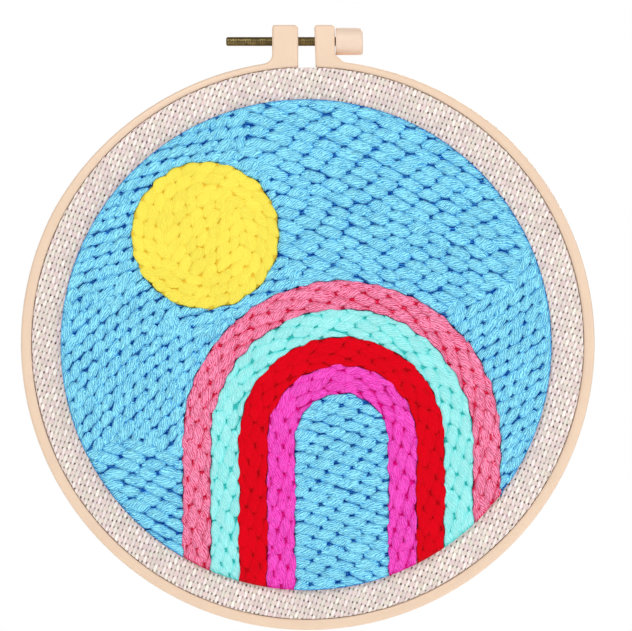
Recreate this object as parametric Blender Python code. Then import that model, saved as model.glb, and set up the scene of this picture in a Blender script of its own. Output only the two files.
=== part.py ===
"""A punch needle wall piece in its embroidery hoop, hung by the hoop's clamping screw.

The piece faces -Y and hangs in the XZ plane, its back against a wall at Y = 0. The origin is where a
nail in that wall carries it: the underside of the clamping screw, midway between the hoop's two lugs.

Everything is laid out flat first, in the hoop's own frame: X to the right, Y up the piece, and Z as the
height above the back rim. The empty "hoop_centre" then stands it up against the wall.
"""

import math

import bmesh
import bpy

MM = 0.001

# Clearance between neighbouring pieces.
GAP = 0.3 * MM

# Outer ring: a split plastic ring with a lug at each side of its split.
RING_OUTER_R = 101.3 * MM
RING_INNER_R = 97.5 * MM
RING_DEPTH = 9.5 * MM
RING_ROUNDING = 0.9 * MM
SPLIT_LEFT_X = -3.4 * MM
SPLIT_RIGHT_TOP_X = 2.3 * MM
SPLIT_RIGHT_FOOT_X = 2.8 * MM
LUG_LEFT_X = -12.6 * MM
LUG_RIGHT_X = 9.6 * MM
LUG_TOP_Y = 112.4 * MM
LEFT_FILLET = 3.6 * MM
RIGHT_CHAMFER_RUN = 3.2 * MM
RIGHT_CHAMFER_TOP_Y = 102.0 * MM
# The ring grows thinner towards its lugs, where a wider circle set lower trims its outer face.
TRIM_R = 103.5 * MM
TRIM_X, TRIM_Y = 0.6 * MM, -3.55 * MM

# Clamping screw: a threaded brass rod whose head is moulded into a plastic knob.
SCREW_R = 1.6 * MM
SCREW_Y = 106.9 * MM
SCREW_LEFT_X = -28.9 * MM
SCREW_END_CHAMFER = 0.4 * MM
KNOB_R = 4.8 * MM
KNOB_LEFT_X = LUG_RIGHT_X + GAP
KNOB_RIGHT_X = 19.5 * MM
KNOB_ROUNDING = 0.9 * MM
KNOB_SOCKET_DEPTH = 5.5 * MM

# Cloth: one sheet drawn over the inner ring, its margin held between the two rings.
CLOTH_THICKNESS = 1.0 * MM
CLOTH_SET_BACK = 0.3 * MM
CLOTH_FRONT = RING_DEPTH - CLOTH_SET_BACK
CLOTH_BACK = CLOTH_FRONT - CLOTH_THICKNESS
CLOTH_OUTER_R = RING_INNER_R - GAP
CLOTH_SHOULDER = 0.8 * MM
MARGIN_END = 0.4 * MM

# Inner ring, hidden in front by the cloth and open to the wall behind.
INNER_RING_WIDTH = 3.8 * MM
INNER_RING_OUTER_R = CLOTH_OUTER_R - CLOTH_THICKNESS - GAP
INNER_RING_TOP = CLOTH_BACK - GAP
INNER_RING_ROUNDING = 0.6 * MM

# Yarn: flat stitches on the face, and the loops that they leave behind the cloth.
WORKED_R = 86.6 * MM
WORKED_X = -0.6 * MM
WORKED_Y = -0.5 * MM
STITCH_HEIGHT = 2.4 * MM
STITCH_BOTTOM = CLOTH_FRONT + GAP
STITCH_TOP = STITCH_BOTTOM + STITCH_HEIGHT
STITCH_ROUNDING = 1.2 * MM
LOOP_LENGTH = 6.0 * MM
LOOP_TOP = CLOTH_BACK - GAP
LOOP_BOTTOM = LOOP_TOP - LOOP_LENGTH
LOOP_ROUNDING = 1.8 * MM

# The picture in yarn: a round sun and an arch of four bands that runs down to the worked edge.
SUN_X, SUN_Y, SUN_R = -36 * MM, 38 * MM, 26 * MM
ARCH_X, ARCH_Y, ARCH_OUTER_R = 12 * MM, -34 * MM, 56 * MM
BAND_WIDTH = 9.9 * MM
BANDS = ("salmon", "mint", "red", "magenta")
ARCH_INNER_R = ARCH_OUTER_R - len(BANDS) * BAND_WIDTH

# How finely curves are divided.
RING_STEPS = 72
SCREW_STEPS = 20
KNOB_STEPS = 28
WORKED_STEPS = 52
SUN_STEPS = 28
ARCH_STEPS = 16
EDGE_STEP = 8 * MM
FILLET_STEPS = 4
CORNER_STEPS = 3
# A pad's quarter-round edge as insets: shares of its radius inwards and upwards, steep and then shallow.
PAD_EDGE = ((0.3, 0.7), (0.7, 0.3))
SHARP_ANGLE = math.radians(40)

# Name: base colour, metallic, roughness.
MATERIALS = {
    "peach_plastic": ((0.90, 0.67, 0.50), 0.0, 0.42),
    "knob_plastic": ((0.91, 0.66, 0.52), 0.0, 0.45),
    "aged_brass": ((0.30, 0.23, 0.12), 1.0, 0.38),
    "cream_cloth": ((0.76, 0.66, 0.60), 0.0, 0.90),
    "blue_yarn": ((0.16, 0.58, 0.88), 0.0, 0.85),
    "yellow_yarn": ((0.98, 0.78, 0.08), 0.0, 0.85),
    "salmon_yarn": ((0.90, 0.20, 0.28), 0.0, 0.85),
    "mint_yarn": ((0.26, 0.90, 0.83), 0.0, 0.85),
    "red_yarn": ((0.72, 0.01, 0.02), 0.0, 0.85),
    "magenta_yarn": ((0.86, 0.08, 0.52), 0.0, 0.85),
}


def clear_scene():
    for old in list(bpy.data.objects):
        bpy.data.objects.remove(old, do_unlink=True)


def material(name):
    """The named Principled material, made on first use."""
    found = bpy.data.materials.get(name)
    if found:
        return found
    colour, metallic, roughness = MATERIALS[name]
    made = bpy.data.materials.new(name)
    made.use_nodes = True
    shader = made.node_tree.nodes["Principled BSDF"]
    shader.inputs["Base Color"].default_value = (*colour, 1.0)
    shader.inputs["Metallic"].default_value = metallic
    shader.inputs["Roughness"].default_value = roughness
    return made


def add_empty(name, location, rotation=(0, 0, 0), parent=None):
    empty = bpy.data.objects.new(name, None)
    empty.location = location
    empty.rotation_euler = rotation
    empty.parent = parent
    bpy.context.scene.collection.objects.link(empty)
    return empty


def add_object(name, bm, material_name, parent):
    """Turns a finished bmesh into an object whose faces point out."""
    bmesh.ops.recalc_face_normals(bm, faces=bm.faces)
    mesh = bpy.data.meshes.new(name)
    bm.to_mesh(mesh)
    bm.free()
    mesh.shade_smooth()
    mesh.set_sharp_from_angle(angle=SHARP_ANGLE)
    obj = bpy.data.objects.new(name, mesh)
    obj.parent = parent
    bpy.context.scene.collection.objects.link(obj)
    if material_name:
        mesh.materials.append(material(material_name))
    return obj


def arc(centre_x, centre_y, radius, start, end, steps):
    """Points along an arc, both ends included; the angles are in degrees from +X towards +Y."""
    angles = [math.radians(start + (end - start) * i / steps) for i in range(steps + 1)]
    return [(centre_x + radius * math.cos(a), centre_y + radius * math.sin(a)) for a in angles]


def circle(centre_x, centre_y, radius, steps):
    return arc(centre_x, centre_y, radius, 0, 360, steps)[:-1]


def turned(name, profile, steps, material_name, parent, hollow=False):
    """A solid turned about Z from (radius, height) points.

    A hollow profile is a closed ring section; the others end in flat faces at both ends.
    """
    bm = bmesh.new()
    rings = []
    for radius, height in profile:
        rings.append([bm.verts.new((x, y, height)) for x, y in circle(0, 0, radius, steps)])
    pairs = list(zip(rings, rings[1:]))
    if hollow:
        pairs.append((rings[-1], rings[0]))
    for low, high in pairs:
        for i in range(steps):
            j = (i + 1) % steps
            bm.faces.new((low[i], low[j], high[j], high[i]))
    if not hollow:
        bm.faces.new(rings[0])
        bm.faces.new(rings[-1])
    return add_object(name, bm, material_name, parent)


def extrude_up(bm, height):
    """Makes a solid of a flat mesh, with its copy moved by height, and returns the copy's faces."""
    grown = bmesh.ops.extrude_face_region(bm, geom=bm.faces[:])["geom"]
    lifted = [v for v in grown if isinstance(v, bmesh.types.BMVert)]
    bmesh.ops.translate(bm, verts=lifted, vec=(0, 0, height))
    bmesh.ops.recalc_face_normals(bm, faces=bm.faces)
    return [f for f in grown if isinstance(f, bmesh.types.BMFace)]


def prism(name, outline, bottom, top, material_name, parent):
    bm = bmesh.new()
    bm.faces.new([bm.verts.new((x, y, bottom)) for x, y in outline])
    extrude_up(bm, top - bottom)
    return add_object(name, bm, material_name, parent)


def pad(name, loops, bottom, top, rounding, material_name, parent):
    """A flat pad from bottom to top, which may run upwards or downwards, rounded along its top edge.

    The first loop is its outline, and any others are holes in it.
    """
    direction = math.copysign(1, top - bottom)
    bm = bmesh.new()
    for loop in loops:
        verts = [bm.verts.new((x, y, bottom)) for x, y in loop]
        for a, b in zip(verts, verts[1:] + verts[:1]):
            bm.edges.new((a, b))
    bmesh.ops.triangle_fill(bm, use_beauty=True, edges=bm.edges[:])
    crown = extrude_up(bm, top - direction * rounding - bottom)
    for inward, upward in PAD_EDGE:
        bmesh.ops.inset_region(
            bm, faces=crown, use_boundary=True, use_even_offset=True,
            thickness=inward * rounding, depth=upward * rounding,
        )
    return add_object(name, bm, material_name, parent)


def add_modifier(obj, name, kind, **settings):
    modifier = obj.modifiers.new(name, kind)
    for key, value in settings.items():
        setattr(modifier, key, value)
    return modifier


def cut(obj, name, cutter):
    """Subtracts a cutter, which stays in the file as a hidden wire guide."""
    cutter.hide_render = True
    cutter.display_type = "WIRE"
    add_modifier(obj, name, "BOOLEAN", operation="DIFFERENCE", solver="EXACT", object=cutter)


def on_circle(radius, x):
    """The upper point of a circle about the hoop's centre, at x."""
    return (x, math.sqrt(radius * radius - x * x))


def bearing(point):
    """The angle in degrees of a point seen from the hoop's centre."""
    return math.degrees(math.atan2(point[1], point[0]))


def curve_between(start, bend, end, steps):
    """A smooth corner: inner points of the quadratic curve from start to end that bend pulls on."""
    points = []
    for i in range(1, steps):
        t = i / steps
        a, b, c = (1 - t) ** 2, 2 * t * (1 - t), t * t
        points.append(tuple(a * start[k] + b * bend[k] + c * end[k] for k in range(2)))
    return points


def trimmed(point):
    """A point of the ring's outer face, lowered to the trimming circle near the lugs."""
    x, y = point
    if y < 0:
        return point
    return (x, min(y, TRIM_Y + math.sqrt(TRIM_R ** 2 - (x - TRIM_X) ** 2)))


def ring_outline():
    """The split ring with its lugs, from the split's right side clockwise back to it."""
    right_foot = on_circle(RING_INNER_R, SPLIT_RIGHT_FOOT_X)
    left_foot = on_circle(RING_INNER_R, SPLIT_LEFT_X)
    right_root = on_circle(RING_OUTER_R, LUG_RIGHT_X + RIGHT_CHAMFER_RUN)
    left_root = on_circle(RING_OUTER_R, LUG_LEFT_X - LEFT_FILLET)
    chamfer_top = (LUG_RIGHT_X, RIGHT_CHAMFER_TOP_Y)
    outer = arc(0, 0, RING_OUTER_R, bearing(right_root), bearing(left_root) - 360, RING_STEPS)
    outer = [trimmed(point) for point in outer]
    fillet_top = (LUG_LEFT_X, outer[-1][1] + LEFT_FILLET)
    fillet_bend = trimmed(on_circle(RING_OUTER_R, LUG_LEFT_X))
    inner = arc(0, 0, RING_INNER_R, bearing(left_foot), bearing(right_foot) + 360, RING_STEPS)
    right_lug = [(SPLIT_RIGHT_TOP_X, LUG_TOP_Y), (LUG_RIGHT_X, LUG_TOP_Y), chamfer_top]
    left_lug = [fillet_top, (LUG_LEFT_X, LUG_TOP_Y), (SPLIT_LEFT_X, LUG_TOP_Y)]
    fillet = curve_between(outer[-1], fillet_bend, fillet_top, FILLET_STEPS)
    return right_lug + outer + fillet + left_lug + inner


def along_x(obj, x):
    """Lays a piece that was turned about Z along +X, starting at x."""
    obj.rotation_euler = (0, math.pi / 2, 0)
    obj.location.x = x
    return obj


def outer_ring(hoop):
    ring = prism("outer_ring", ring_outline(), 0, RING_DEPTH, "peach_plastic", hoop)
    add_modifier(
        ring, "rounding", "BEVEL", width=RING_ROUNDING, segments=2,
        limit_method="ANGLE", angle_limit=SHARP_ANGLE,
    )
    # The drill runs past both lugs.
    hole_r, start_x, length = SCREW_R + GAP, 2 * LUG_LEFT_X, 2 * (LUG_RIGHT_X - LUG_LEFT_X)
    drill = turned("screw_hole_cutter", [(hole_r, 0), (hole_r, length)], SCREW_STEPS, None, hoop)
    along_x(drill, start_x)
    drill.location.y, drill.location.z = SCREW_Y, RING_DEPTH / 2
    cut(ring, "screw_hole", drill)


def inner_ring(hoop):
    inner_r, outer_r = INNER_RING_OUTER_R - INNER_RING_WIDTH, INNER_RING_OUTER_R
    edge = INNER_RING_ROUNDING
    profile = [
        (inner_r + edge, 0),
        (outer_r - edge, 0),
        (outer_r, edge),
        (outer_r, INNER_RING_TOP - edge),
        (outer_r - edge, INNER_RING_TOP),
        (inner_r + edge, INNER_RING_TOP),
        (inner_r, INNER_RING_TOP - edge),
        (inner_r, edge),
    ]
    turned("inner_ring", profile, RING_STEPS, "peach_plastic", hoop, hollow=True)


def cloth(hoop):
    """The sheet's face and its margin, which turns down between the rings."""
    margin_inner_r = CLOTH_OUTER_R - CLOTH_THICKNESS
    shoulder_r, shoulder_height = CLOTH_OUTER_R - CLOTH_SHOULDER, CLOTH_FRONT - CLOTH_SHOULDER
    shoulder = arc(shoulder_r, shoulder_height, CLOTH_SHOULDER, 90, 0, CORNER_STEPS)
    profile = shoulder + [
        (CLOTH_OUTER_R, MARGIN_END),
        (margin_inner_r, MARGIN_END),
        (margin_inner_r, CLOTH_BACK),
    ]
    turned("cloth", profile, RING_STEPS, "cream_cloth", hoop)


def worked_angle(x):
    """The angle in degrees of the worked circle's lower point at x."""
    return -math.degrees(math.acos((x - WORKED_X) / WORKED_R))


def worked_edge(start_x, end_x):
    """Points along the lower half of the worked circle from one x to another."""
    steps = max(1, round(abs(end_x - start_x) / EDGE_STEP))
    return arc(WORKED_X, WORKED_Y, WORKED_R, worked_angle(start_x), worked_angle(end_x), steps)


def band_loop(outer_r, inner_r):
    """An arch band with straight legs that end on the worked circle."""
    return (
        arc(ARCH_X, ARCH_Y, outer_r, 180, 0, ARCH_STEPS)
        + worked_edge(ARCH_X + outer_r, ARCH_X + inner_r)
        + arc(ARCH_X, ARCH_Y, inner_r, 0, 180, ARCH_STEPS)
        + worked_edge(ARCH_X - inner_r, ARCH_X - outer_r)
    )


def sky_loops():
    """The ground outside the arch, and the round hole in it that the sun fills."""
    arch_r = ARCH_OUTER_R + GAP / 2
    start, end = worked_angle(ARCH_X + arch_r), worked_angle(ARCH_X - arch_r) + 360
    rim = arc(WORKED_X, WORKED_Y, WORKED_R, start, end, WORKED_STEPS)
    outline = rim + arc(ARCH_X, ARCH_Y, arch_r, 180, 0, ARCH_STEPS)
    return [outline, circle(SUN_X, SUN_Y, SUN_R + GAP / 2, SUN_STEPS)]


def doorway_loop():
    """The ground under the arch."""
    r = ARCH_INNER_R - GAP / 2
    return arc(ARCH_X, ARCH_Y, r, 180, 0, ARCH_STEPS) + worked_edge(ARCH_X + r, ARCH_X - r)


def picture():
    """Each patch of yarn: its name, its loops and its material."""
    patches = [
        ("sky", sky_loops(), "blue_yarn"),
        ("doorway", [doorway_loop()], "blue_yarn"),
        ("sun", [circle(SUN_X, SUN_Y, SUN_R - GAP / 2, SUN_STEPS)], "yellow_yarn"),
    ]
    for i, colour in enumerate(BANDS):
        outer_r = ARCH_OUTER_R - i * BAND_WIDTH - GAP / 2
        inner_r = ARCH_OUTER_R - (i + 1) * BAND_WIDTH + GAP / 2
        patches.append((f"band_{colour}", [band_loop(outer_r, inner_r)], f"{colour}_yarn"))
    return patches


def yarn(hoop):
    """Every patch shows as flat stitches in front, and as loops of the same outline behind."""
    for name, loops, material_name in picture():
        pad(f"{name}_stitches", loops, STITCH_BOTTOM, STITCH_TOP, STITCH_ROUNDING, material_name, hoop)
        pad(f"{name}_loops", loops, LOOP_TOP, LOOP_BOTTOM, LOOP_ROUNDING, material_name, hoop)


def clamp_screw(axis):
    """The rod, from its free end on the left to its head in the knob's socket."""
    length = KNOB_LEFT_X + KNOB_SOCKET_DEPTH - GAP - SCREW_LEFT_X
    profile = [(SCREW_R - SCREW_END_CHAMFER, 0), (SCREW_R, SCREW_END_CHAMFER), (SCREW_R, length)]
    along_x(turned("clamp_screw", profile, SCREW_STEPS, "aged_brass", axis), SCREW_LEFT_X)


def knob(axis):
    """A plain round knob with a blind socket for the rod's head."""
    length, edge, socket_r = KNOB_RIGHT_X - KNOB_LEFT_X, KNOB_ROUNDING, SCREW_R + GAP
    profile = [(socket_r, KNOB_SOCKET_DEPTH), (socket_r, 0)]
    profile += arc(KNOB_R - edge, edge, edge, -90, 0, CORNER_STEPS)
    profile += arc(KNOB_R - edge, length - edge, edge, 0, 90, CORNER_STEPS)
    along_x(turned("knob", profile, KNOB_STEPS, "knob_plastic", axis), KNOB_LEFT_X)


def build():
    clear_scene()
    split_middle_x = (SPLIT_LEFT_X + SPLIT_RIGHT_TOP_X) / 2
    nail_y = SCREW_Y - SCREW_R
    hoop = add_empty("hoop_centre", (-split_middle_x, 0, -nail_y), (math.pi / 2, 0, 0))
    outer_ring(hoop)
    inner_ring(hoop)
    cloth(hoop)
    yarn(hoop)
    axis = add_empty("screw_axis", (0, SCREW_Y, RING_DEPTH / 2), parent=hoop)
    clamp_screw(axis)
    knob(axis)


build()
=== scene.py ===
"""The looks of a punch needle wall piece: yarn stitch by stitch, woven cloth, plastic hoop, brass screw.

Shapes are laid out in millimetres in the hoop's own frame: x to the right and y up from the hoop's centre,
and h the height above the back rim. world() stands them up in the row frame, facing -Y.
"""

import math
from collections import namedtuple

import bmesh
import bpy
import numpy as np
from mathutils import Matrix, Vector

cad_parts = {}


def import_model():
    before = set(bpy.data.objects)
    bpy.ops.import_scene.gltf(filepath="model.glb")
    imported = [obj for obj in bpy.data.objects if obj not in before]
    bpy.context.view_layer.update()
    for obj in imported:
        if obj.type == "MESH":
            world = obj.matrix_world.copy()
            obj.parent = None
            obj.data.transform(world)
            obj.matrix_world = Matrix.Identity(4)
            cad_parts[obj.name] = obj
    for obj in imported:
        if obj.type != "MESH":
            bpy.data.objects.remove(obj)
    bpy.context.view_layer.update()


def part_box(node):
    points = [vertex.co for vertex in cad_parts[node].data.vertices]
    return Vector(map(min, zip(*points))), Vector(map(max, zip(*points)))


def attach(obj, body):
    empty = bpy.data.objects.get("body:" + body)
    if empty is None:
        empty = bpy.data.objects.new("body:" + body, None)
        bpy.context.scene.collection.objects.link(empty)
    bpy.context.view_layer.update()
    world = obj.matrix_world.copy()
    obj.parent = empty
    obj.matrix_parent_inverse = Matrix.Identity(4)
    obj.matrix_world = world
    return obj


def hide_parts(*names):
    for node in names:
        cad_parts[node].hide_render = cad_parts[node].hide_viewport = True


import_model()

MM = 0.001
RANDOM = np.random.default_rng(7)

# Places and sizes read from the frame.
low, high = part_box("inner_ring")
CENTRE_X, CENTRE_Z = (low.x + high.x) / 2, (low.z + high.z) / 2
INNER_RING_R = (high.x - low.x) / 2 / MM
INNER_RING_TOP = -low.y / MM
low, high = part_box("outer_ring")
RING_OUTER_R = (high.x - low.x) / 2 / MM
RING_DEPTH = -low.y / MM
LUG_TOP_Y = (high.z - CENTRE_Z) / MM
low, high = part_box("cloth")
CLOTH_R = (high.x - low.x) / 2 / MM
CLOTH_FRONT = -low.y / MM
CLOTH_END = -high.y / MM
low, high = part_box("clamp_screw")
SCREW_R = (high.z - low.z) / 2 / MM
SCREW_Y = ((high.z + low.z) / 2 - CENTRE_Z) / MM
SCREW_H = -(high.y + low.y) / 2 / MM
SCREW_LEFT_X, SCREW_RIGHT_X = (low.x - CENTRE_X) / MM, (high.x - CENTRE_X) / MM
low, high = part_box("knob")
KNOB_R = (high.z - low.z) / 2 / MM
KNOB_LEFT_X, KNOB_RIGHT_X = (low.x - CENTRE_X) / MM, (high.x - CENTRE_X) / MM
STITCH_TOP = -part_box("sky_stitches")[0].y / MM
LOOP_TOP = -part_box("sky_loops")[0].y / MM
LOOP_BOTTOM = -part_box("sky_loops")[1].y / MM

# Sizes that the frame's boxes don't give, as the part has them.
GAP = 0.3
RING_INNER_R = CLOTH_R + GAP
RING_ROUNDING = 1.1
SPLIT_LEFT_X, SPLIT_RIGHT_TOP_X, SPLIT_RIGHT_FOOT_X = -3.4, 2.3, 2.8
LUG_LEFT_X, LUG_RIGHT_X = -12.6, 9.6
LEFT_FILLET = 3.6
RIGHT_CHAMFER_RUN, RIGHT_CHAMFER_TOP_Y = 3.2, 102.0
TRIM_R, TRIM_X, TRIM_Y = 103.5, 0.6, -3.55
INNER_RING_WIDTH, INNER_RING_ROUNDING = 3.8, 0.6
KNOB_ROUNDING, KNOB_SOCKET_DEPTH = 0.9, 5.5
KNOB_FOOT_ROUNDING = 0.35
CLOTH_THICKNESS, CLOTH_SHOULDER = 1.0, 0.4
WORKED_X, WORKED_Y, WORKED_R = -0.6, -0.5, 86.6
SUN_X, SUN_Y, SUN_R = -36.0, 38.0, 26.0
ARCH_X, ARCH_Y, ARCH_OUTER_R = 12.0, -34.0, 56.0
BAND_WIDTH = 9.9
BANDS = ("salmon", "mint", "red", "magenta")
ARCH_INNER_R = ARCH_OUTER_R - len(BANDS) * BAND_WIDTH


def world(points):
    """Layout millimetres to row frame metres."""
    x, y, h = np.moveaxis(np.asarray(points, float), -1, 0)
    return np.stack([x * MM + CENTRE_X, -h * MM, y * MM + CENTRE_Z], axis=-1)


# Meshes from grids of points.


def full_turn(steps):
    return np.linspace(0, 2 * math.pi, steps, endpoint=False)


def grid_faces(rows, columns, wrap_rows=False, wrap_columns=False):
    """Quads between neighbouring rows and columns of a grid of points that is stored row by row."""
    row = np.arange(rows if wrap_rows else rows - 1)[:, None]
    column = np.arange(columns if wrap_columns else columns - 1)[None, :]
    next_row, next_column = (row + 1) % rows, (column + 1) % columns
    corners = [
        row * columns + column, row * columns + next_column,
        next_row * columns + next_column, next_row * columns + column,
    ]
    return np.stack(np.broadcast_arrays(*corners), axis=-1).reshape(-1, 4)


def closed_faces(rows, columns, flip=False):
    """Faces of a grid that wraps round, with fans to two poles that are stored after its points."""
    ring = np.arange(columns)
    following = np.roll(ring, -1)
    pole = np.full_like(ring, rows * columns)
    last = (rows - 1) * columns
    start = np.stack([following, ring, pole], axis=-1)
    end = np.stack([ring + last, following + last, pole + 1], axis=-1)
    face_sets = (grid_faces(rows, columns, wrap_columns=True), start, end)
    return [faces[:, ::-1] if flip else faces for faces in face_sets]


def repeated(faces, points, count):
    """The faces of one mesh of so many points, for count copies of it that are stored one after another."""
    return (faces + points * np.arange(count)[:, None, None]).reshape(-1, faces.shape[1])


def new_mesh(name, points, face_sets):
    """A mesh from layout points and sets of faces, each set of one corner count."""
    mesh = bpy.data.meshes.new(name)
    corners = np.concatenate([faces.ravel() for faces in face_sets]).astype(np.int32)
    sizes = np.concatenate([np.full(len(faces), faces.shape[1]) for faces in face_sets])
    starts = np.concatenate([[0], np.cumsum(sizes)[:-1]]).astype(np.int32)
    mesh.vertices.add(len(points))
    mesh.vertices.foreach_set("co", world(points).astype(np.float32).ravel())
    mesh.loops.add(len(corners))
    mesh.loops.foreach_set("vertex_index", corners)
    mesh.polygons.add(len(sizes))
    mesh.polygons.foreach_set("loop_start", starts)
    mesh.update(calc_edges=True)
    return mesh


def add_object(name, data):
    obj = bpy.data.objects.new(name, data)
    bpy.context.scene.collection.objects.link(obj)
    return obj


def dress(name, mesh, material, replaced, body="hoop"):
    """A piece of a body, in place of the solids that it replaces."""
    obj = add_object(name, mesh)
    mesh.materials.clear()
    mesh.materials.append(material)
    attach(obj, body)
    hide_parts(*replaced)
    return obj


def add_piece(name, points, face_sets, material, replaced, body="hoop", attributes=None):
    """A smooth mesh piece from layout points and sets of faces, with levels or vectors at its points."""
    mesh = new_mesh(name, points, face_sets)
    for key, values in (attributes or {}).items():
        values = np.asarray(values, np.float32)
        kind, field = ("FLOAT", "value") if values.ndim == 1 else ("FLOAT_VECTOR", "vector")
        mesh.attributes.new(key, kind, "POINT").data.foreach_set(field, values.ravel())
    mesh.validate()
    mesh.shade_smooth()
    return dress(name, mesh, material, replaced, body)


# Materials.


class Nodes:
    """A short way to write the nodes of a material or world."""

    def __init__(self, data):
        data.use_nodes = True
        self.data = data
        self.tree = data.node_tree

    def put(self, socket, value):
        if isinstance(value, bpy.types.NodeSocket):
            self.tree.links.new(value, socket)
        else:
            socket.default_value = (*value, 1.0) if isinstance(value, tuple) else value

    def add(self, kind, inputs=None, **settings):
        node = self.tree.nodes.new(kind)
        for key, value in settings.items():
            setattr(node, key, value)
        for key, value in (inputs or {}).items():
            self.put(node.inputs[key], value)
        return node

    def math(self, operation, a, b=0.0, clamp=False):
        return self.add("ShaderNodeMath", {0: a, 1: b}, operation=operation, use_clamp=clamp).outputs[0]

    def times(self, a, b, clamp=False):
        return self.math("MULTIPLY", a, b, clamp)

    def plus(self, a, b, clamp=False):
        return self.math("ADD", a, b, clamp)

    def vector(self, x, y, z=0.0):
        return self.add("ShaderNodeCombineXYZ", {0: x, 1: y, 2: z}).outputs[0]

    def separate(self, vector):
        return self.add("ShaderNodeSeparateXYZ", {0: vector}).outputs

    def attribute(self, name, output):
        return self.add("ShaderNodeAttribute", attribute_name=name).outputs[output]

    def place(self):
        """The point in the row frame, in metres, before any pose."""
        return self.add("ShaderNodeTexCoord").outputs["Object"]

    def noise(self, vector, scale, detail=2.0, roughness=0.5):
        inputs = {"Vector": vector, "Scale": scale, "Detail": detail, "Roughness": roughness}
        return self.add("ShaderNodeTexNoise", inputs).outputs[0]

    def white_noise(self, vector):
        return self.add("ShaderNodeTexWhiteNoise", {"Vector": vector}).outputs["Value"]

    def mix(self, factor, a, b, blend="MIX"):
        """Two colours or levels mixed, or with the blend MULTIPLY their product."""
        node = self.add("ShaderNodeMix", {0: factor, 6: a, 7: b}, data_type="RGBA", blend_type=blend)
        return node.outputs[2]

    def ramp(self, factor, *stops):
        """Colours at positions, smoothly joined."""
        node = self.add("ShaderNodeValToRGB", {0: factor})
        elements = node.color_ramp.elements
        while len(elements) < len(stops):
            elements.new(0.5)
        for element, (position, colour) in zip(elements, stops):
            element.position = position
            element.color = (*colour, 1.0)
        return node.outputs[0]

    def remap(self, value, low, high, new_low, new_high):
        inputs = {0: value, 1: low, 2: high, 3: new_low, 4: new_high}
        return self.add("ShaderNodeMapRange", inputs).outputs[0]

    def bump(self, height, distance, strength, normal=None):
        node = self.add("ShaderNodeBump", {"Height": height, "Distance": distance, "Strength": strength})
        if normal is not None:
            self.put(node.inputs["Normal"], normal)
        return node.outputs[0]

    def finish(self, **sockets):
        """The material, with values and links on its shader."""
        for key, value in sockets.items():
            self.put(self.tree.nodes["Principled BSDF"].inputs[key.replace("_", " ")], value)
        return self.data


def new_material(name):
    return Nodes(bpy.data.materials.new(name))


def srgb(red, green, blue):
    """A colour given as 0 to 255 screen values, as Blender's linear colour."""
    def linear(value):
        value /= 255
        return value / 12.92 if value <= 0.04045 else ((value + 0.055) / 1.055) ** 2.4
    return tuple(linear(value) for value in (red, green, blue))


# A yarn's colours from its crests down to the gaps between its stitches: the body is the yarn's own colour,
# the paler crest colour is a painted highlight and the dark gap colour is painted shade; how strongly its
# plies show; how far pressed yarn fills the gaps; and how flat the stitches lie.
Yarn = namedtuple("Yarn", "crest body gap contrast bed flat")
YARNS = {
    "blue": Yarn(srgb(148, 234, 255), srgb(76, 182, 252), srgb(8, 76, 178), 1.1, 0.5, 0.0),
    "yellow": Yarn(srgb(250, 232, 88), srgb(250, 225, 80), srgb(244, 202, 58), 0.25, 0.7, 1.0),
    "salmon": Yarn(srgb(255, 148, 186), srgb(255, 76, 124), srgb(230, 4, 62), 1.2, 0.6, 0.15),
    "mint": Yarn(srgb(164, 242, 242), srgb(114, 240, 238), srgb(54, 196, 192), 0.5, 0.62, 0.4),
    "red": Yarn(srgb(226, 0, 24), srgb(219, 0, 22), srgb(186, 0, 16), 0.35, 0.7, 0.7),
    "magenta": Yarn(srgb(252, 86, 206), srgb(252, 36, 180), srgb(226, 0, 130), 0.85, 0.6, 0.3),
}
PLY_PERIOD = 0.7


def yarn_material(colour):
    """Soft plied yarn: slanting, broken streaks of fibre, a painted highlight on the crest and painted
    shade in the gaps.
    """
    crest, body, gap_shade, contrast = YARNS[colour][:4]
    n = new_material(f"{colour}_yarn")
    down, across, seed = n.separate(n.attribute("strand", "Vector"))

    def along_fibre(down_scale, across_scale, detail=1.0):
        place = n.vector(n.times(down, down_scale), n.times(across, across_scale), seed)
        return n.noise(place, 1.0, detail, 0.6)

    wander = n.times(along_fibre(0.45, 0.6, 2.0), 2.6)
    phase = n.plus(n.math("DIVIDE", across, PLY_PERIOD), wander)
    broken = n.remap(along_fibre(0.8, 0.9), 0.34, 0.56, 0.25, 1.0)
    streak = n.times(n.math("SINE", n.times(phase, 2 * math.pi)), broken)
    hair = along_fibre(0.7, 5.0)

    # The crest level picks the tone: painted highlight on top, the yarn's own colour between, painted shade
    # in the gaps.
    lift = n.plus(n.attribute("crest", "Fac"), n.times(streak, 0.42 * contrast))
    lift = n.plus(lift, n.remap(along_fibre(0.25, 0.35), 0.3, 0.7, -0.18, 0.12), clamp=True)
    tone = n.ramp(lift, (0.0, gap_shade), (0.45, body), (1.0, crest))
    shade = n.remap(n.attribute("tint", "Fac"), 0.0, 1.0, 0.96, 1.03)
    shade = n.times(shade, n.remap(streak, -1.0, 1.0, 1 - 0.22 * contrast, 1 + 0.16 * contrast))
    shade = n.times(shade, n.remap(hair, 0.25, 0.75, 1 - 0.07 * contrast, 1 + 0.07 * contrast))
    relief = 0.3 + 0.7 * min(contrast, 1.0)
    normal = n.bump(streak, 0.14 * MM, 0.9 * relief)
    return n.finish(
        Base_Color=n.mix(1.0, tone, shade, "MULTIPLY"), Roughness=n.remap(hair, 0.3, 0.7, 0.95, 0.8),
        Normal=n.bump(hair, 0.10 * MM, 0.8 * relief, normal),
        Sheen_Weight=0.03, Sheen_Roughness=0.5, Specular_IOR_Level=0.06,
    )


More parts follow.
